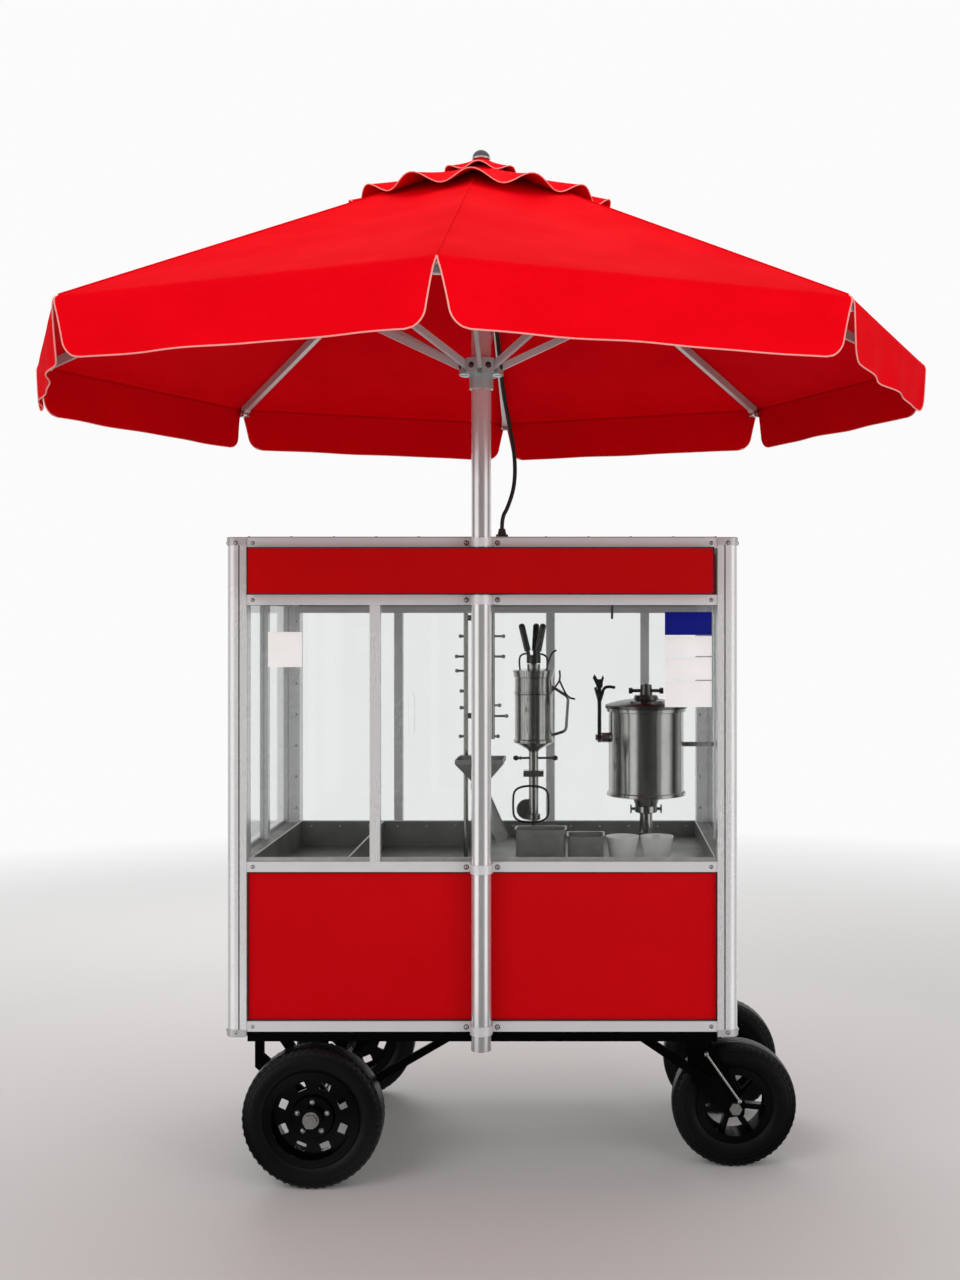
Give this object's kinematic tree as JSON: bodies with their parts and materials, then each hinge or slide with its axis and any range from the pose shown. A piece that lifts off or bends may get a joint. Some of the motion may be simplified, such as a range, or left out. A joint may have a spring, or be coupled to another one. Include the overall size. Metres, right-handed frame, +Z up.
{
  "type": "churro cart",
  "caption": "Wheeled churro cart with a glazed cabinet, churro press, filler tank and bowls, red panels, and a red parasol that folds on a central mast.",
  "frame": {"origin": "on the floor under the axis of the mast, which is the middle of the parasol's outline", "axes": "+Z up along the mast, +X to the right seen from the front, +Y to the back of the cabinet"},
  "size_m": [2.156, 2.156, 2.5253],
  "materials": {
    "frame_aluminium": "satin anodised",
    "mast_aluminium": "satin drawn tube",
    "rib_steel": "satin extruded",
    "chrome_fitting": "polished",
    "parasol_cloth": "woven polyester",
    "red_panel": "gloss",
    "pane_glass": "clear float",
    "deck_steel": "brushed",
    "polished_steel": "polished",
    "dark_grip": "matt",
    "black_frame": "satin",
    "axle_steel": "bright zinc",
    "rim_black": "gloss",
    "tyre_rubber": "matt",
    "cord_black": "matt"
  },
  "bodies": {
    "cart": {"corner_posts": "frame_aluminium", "corner_connectors": "frame_aluminium", "frame_rails": "frame_aluminium", "mullions": "frame_aluminium", "roof_panel": "frame_aluminium", "mast": "mast_aluminium", "mast_clamps": "mast_aluminium", "finial": "chrome_fitting", "top_hub": "chrome_fitting", "canopy": "parasol_cloth", "vent_tiers": "parasol_cloth", "red_panels": "red_panel", "sign_panel": "red_panel", "glass_panes": "pane_glass", "deck_tray": "deck_steel", "base_panel": "deck_steel", "door_hinges": "deck_steel", "press_body": "polished_steel", "filler_tank": "polished_steel", "utensil_rack": "polished_steel", "sugar_hopper": "polished_steel", "cord_glands": "dark_grip", "chassis_frame": "black_frame", "wheel_forks": "black_frame", "wheel_axles": "axle_steel", "lamp_cord": "cord_black"},
    "front_left_wheel": {"front_left_rim": "rim_black", "front_left_tyre": "tyre_rubber"},
    "back_left_wheel": {"back_left_rim": "rim_black", "back_left_tyre": "tyre_rubber"},
    "front_right_wheel": {"front_right_rim": "rim_black", "front_right_tyre": "tyre_rubber"},
    "back_right_wheel": {"back_right_rim": "rim_black", "back_right_tyre": "tyre_rubber"},
    "parasol_runner": {"runner": "chrome_fitting"},
    "rib_arm_1": {"rib_1": "rib_steel"},
    "strut_arm_1": {"strut_1": "rib_steel"},
    "rib_arm_2": {"rib_2": "rib_steel"},
    "strut_arm_2": {"strut_2": "rib_steel"},
    "rib_arm_3": {"rib_3": "rib_steel"},
    "strut_arm_3": {"strut_3": "rib_steel"},
    "rib_arm_4": {"rib_4": "rib_steel"},
    "strut_arm_4": {"strut_4": "rib_steel"},
    "rib_arm_5": {"rib_5": "rib_steel"},
    "strut_arm_5": {"strut_5": "rib_steel"},
    "rib_arm_6": {"rib_6": "rib_steel"},
    "strut_arm_6": {"strut_6": "rib_steel"},
    "rib_arm_7": {"rib_7": "rib_steel"},
    "strut_arm_7": {"strut_7": "rib_steel"},
    "rib_arm_8": {"rib_8": "rib_steel"},
    "strut_arm_8": {"strut_8": "rib_steel"},
    "hatch": {"rear_hatch": "pane_glass"},
    "door_left": {"back_door_left": "red_panel"},
    "door_right": {"back_door_right": "red_panel"},
    "crank": {"press_handle": "dark_grip"},
    "plunger": {"press_plunger": "polished_steel"},
    "lever": {"filler_lever": "polished_steel"},
    "lid": {"filler_lid": "polished_steel"},
    "bowl_left": {"cup_left": "polished_steel"},
    "bowl_right": {"cup_right": "polished_steel"}
  },
  "joints": [
    {"name": "front_left_roll", "type": "hinge", "parent": "cart", "child": "front_left_wheel", "pos_m": [-0.414, 0.045, 0.172], "axis": [0, 1, 0], "continuous": true},
    {"name": "back_left_roll", "type": "hinge", "parent": "cart", "child": "back_left_wheel", "pos_m": [-0.414, 0.721, 0.172], "axis": [0, 1, 0], "continuous": true},
    {"name": "front_right_roll", "type": "hinge", "parent": "cart", "child": "front_right_wheel", "pos_m": [0.63, 0.188, 0.158], "axis": [0, 1, 0], "continuous": true},
    {"name": "back_right_roll", "type": "hinge", "parent": "cart", "child": "back_right_wheel", "pos_m": [0.63, 0.578, 0.158], "axis": [0, 1, 0], "continuous": true},
    {"name": "runner_slide", "type": "slide", "parent": "cart", "child": "parasol_runner", "axis": [0, 0, -1], "range_m": [0, 0.235], "deforming": ["canopy"]},
    {"name": "rib_fold_1", "type": "hinge", "parent": "cart", "child": "rib_arm_1", "pos_m": [0.045, 0, 2.46], "axis": [0, 1, 0], "range_deg": [0, 14.9]},
    {"name": "strut_fold_1", "type": "hinge", "parent": "parasol_runner", "child": "strut_arm_1", "pos_m": [0.044, 0, 1.997], "axis": [0, -1, 0], "range_deg": [0, 15.8]},
    {"name": "rib_fold_2", "type": "hinge", "parent": "cart", "child": "rib_arm_2", "pos_m": [0.03182, 0.03182, 2.46], "axis": [-0.7071, 0.7071, 0], "range_deg": [0, 14.9]},
    {"name": "strut_fold_2", "type": "hinge", "parent": "parasol_runner", "child": "strut_arm_2", "pos_m": [0.03111, 0.03111, 1.997], "axis": [0.7071, -0.7071, 0], "range_deg": [0, 15.8]},
    {"name": "rib_fold_3", "type": "hinge", "parent": "cart", "child": "rib_arm_3", "pos_m": [0, 0.045, 2.46], "axis": [-1, 0, 0], "range_deg": [0, 14.9]},
    {"name": "strut_fold_3", "type": "hinge", "parent": "parasol_runner", "child": "strut_arm_3", "pos_m": [0, 0.044, 1.997], "axis": [1, 0, 0], "range_deg": [0, 15.8]},
    {"name": "rib_fold_4", "type": "hinge", "parent": "cart", "child": "rib_arm_4", "pos_m": [-0.03182, 0.03182, 2.46], "axis": [-0.7071, -0.7071, 0], "range_deg": [0, 14.9]},
    {"name": "strut_fold_4", "type": "hinge", "parent": "parasol_runner", "child": "strut_arm_4", "pos_m": [-0.03111, 0.03111, 1.997], "axis": [0.7071, 0.7071, 0], "range_deg": [0, 15.8]},
    {"name": "rib_fold_5", "type": "hinge", "parent": "cart", "child": "rib_arm_5", "pos_m": [-0.045, 0, 2.46], "axis": [0, -1, 0], "range_deg": [0, 14.9]},
    {"name": "strut_fold_5", "type": "hinge", "parent": "parasol_runner", "child": "strut_arm_5", "pos_m": [-0.044, 0, 1.997], "axis": [0, 1, 0], "range_deg": [0, 15.8]},
    {"name": "rib_fold_6", "type": "hinge", "parent": "cart", "child": "rib_arm_6", "pos_m": [-0.03182, -0.03182, 2.46], "axis": [0.7071, -0.7071, 0], "range_deg": [0, 14.9]},
    {"name": "strut_fold_6", "type": "hinge", "parent": "parasol_runner", "child": "strut_arm_6", "pos_m": [-0.03111, -0.03111, 1.997], "axis": [-0.7071, 0.7071, 0], "range_deg": [0, 15.8]},
    {"name": "rib_fold_7", "type": "hinge", "parent": "cart", "child": "rib_arm_7", "pos_m": [0, -0.045, 2.46], "axis": [1, 0, 0], "range_deg": [0, 14.9]},
    {"name": "strut_fold_7", "type": "hinge", "parent": "parasol_runner", "child": "strut_arm_7", "pos_m": [0, -0.044, 1.997], "axis": [-1, 0, 0], "range_deg": [0, 15.8]},
    {"name": "rib_fold_8", "type": "hinge", "parent": "cart", "child": "rib_arm_8", "pos_m": [0.03182, -0.03182, 2.46], "axis": [0.7071, 0.7071, 0], "range_deg": [0, 14.9]},
    {"name": "strut_fold_8", "type": "hinge", "parent": "parasol_runner", "child": "strut_arm_8", "pos_m": [0.03111, -0.03111, 1.997], "axis": [-0.7071, -0.7071, 0], "range_deg": [0, 15.8]},
    {"name": "hatch_slide", "type": "slide", "parent": "cart", "child": "hatch", "axis": [1, 0, 0], "range_m": [0, 0.41]},
    {"name": "door_left_swing", "type": "hinge", "parent": "cart", "child": "door_left", "pos_m": [-0.569, 0.749, 0.58], "axis": [0, 0, 1], "range_deg": [0, 110]},
    {"name": "door_right_swing", "type": "hinge", "parent": "cart", "child": "door_right", "pos_m": [0.569, 0.749, 0.58], "axis": [0, 0, -1], "range_deg": [0, 110]},
    {"name": "crank_turn", "type": "hinge", "parent": "cart", "child": "crank", "pos_m": [0.115, 0.346, 1.2], "axis": [0, 0, -1], "range_deg": [0, 3610]},
    {"name": "plunger_slide", "type": "slide", "parent": "cart", "child": "plunger", "axis": [0, 0, -1], "range_m": [0, 0.11]},
    {"name": "lever_turn", "type": "hinge", "parent": "cart", "child": "lever", "pos_m": [0.29, 0.346, 1.073], "axis": [1, 0, 0], "range_deg": [0, 60]},
    {"name": "lid_lift", "type": "slide", "parent": "cart", "child": "lid", "axis": [0, 0, 1], "range_m": [0, 0.12]},
    {"name": "bowl_left_slide", "type": "slide", "parent": "cart", "child": "bowl_left", "axis": [0, -1, 0], "range_m": [0, 0.2]},
    {"name": "bowl_right_slide", "type": "slide", "parent": "cart", "child": "bowl_right", "axis": [0, -1, 0], "range_m": [0, 0.2]}
  ],
  "couplings": [
    {"joint": "rib_fold_1", "follows": "runner_slide", "rad_per_m": 1.0947},
    {"joint": "strut_fold_1", "follows": "runner_slide", "rad_per_m": 1.1597},
    {"joint": "rib_fold_2", "follows": "runner_slide", "rad_per_m": 1.0947},
    {"joint": "strut_fold_2", "follows": "runner_slide", "rad_per_m": 1.1597},
    {"joint": "rib_fold_3", "follows": "runner_slide", "rad_per_m": 1.0947},
    {"joint": "strut_fold_3", "follows": "runner_slide", "rad_per_m": 1.1597},
    {"joint": "rib_fold_4", "follows": "runner_slide", "rad_per_m": 1.0947},
    {"joint": "strut_fold_4", "follows": "runner_slide", "rad_per_m": 1.1597},
    {"joint": "rib_fold_5", "follows": "runner_slide", "rad_per_m": 1.0947},
    {"joint": "strut_fold_5", "follows": "runner_slide", "rad_per_m": 1.1597},
    {"joint": "rib_fold_6", "follows": "runner_slide", "rad_per_m": 1.0947},
    {"joint": "strut_fold_6", "follows": "runner_slide", "rad_per_m": 1.1597},
    {"joint": "rib_fold_7", "follows": "runner_slide", "rad_per_m": 1.0947},
    {"joint": "strut_fold_7", "follows": "runner_slide", "rad_per_m": 1.1597},
    {"joint": "rib_fold_8", "follows": "runner_slide", "rad_per_m": 1.0947},
    {"joint": "strut_fold_8", "follows": "runner_slide", "rad_per_m": 1.1597},
    {"joint": "crank_turn", "follows": "plunger_slide", "rad_per_m": 571.2}
  ]
}
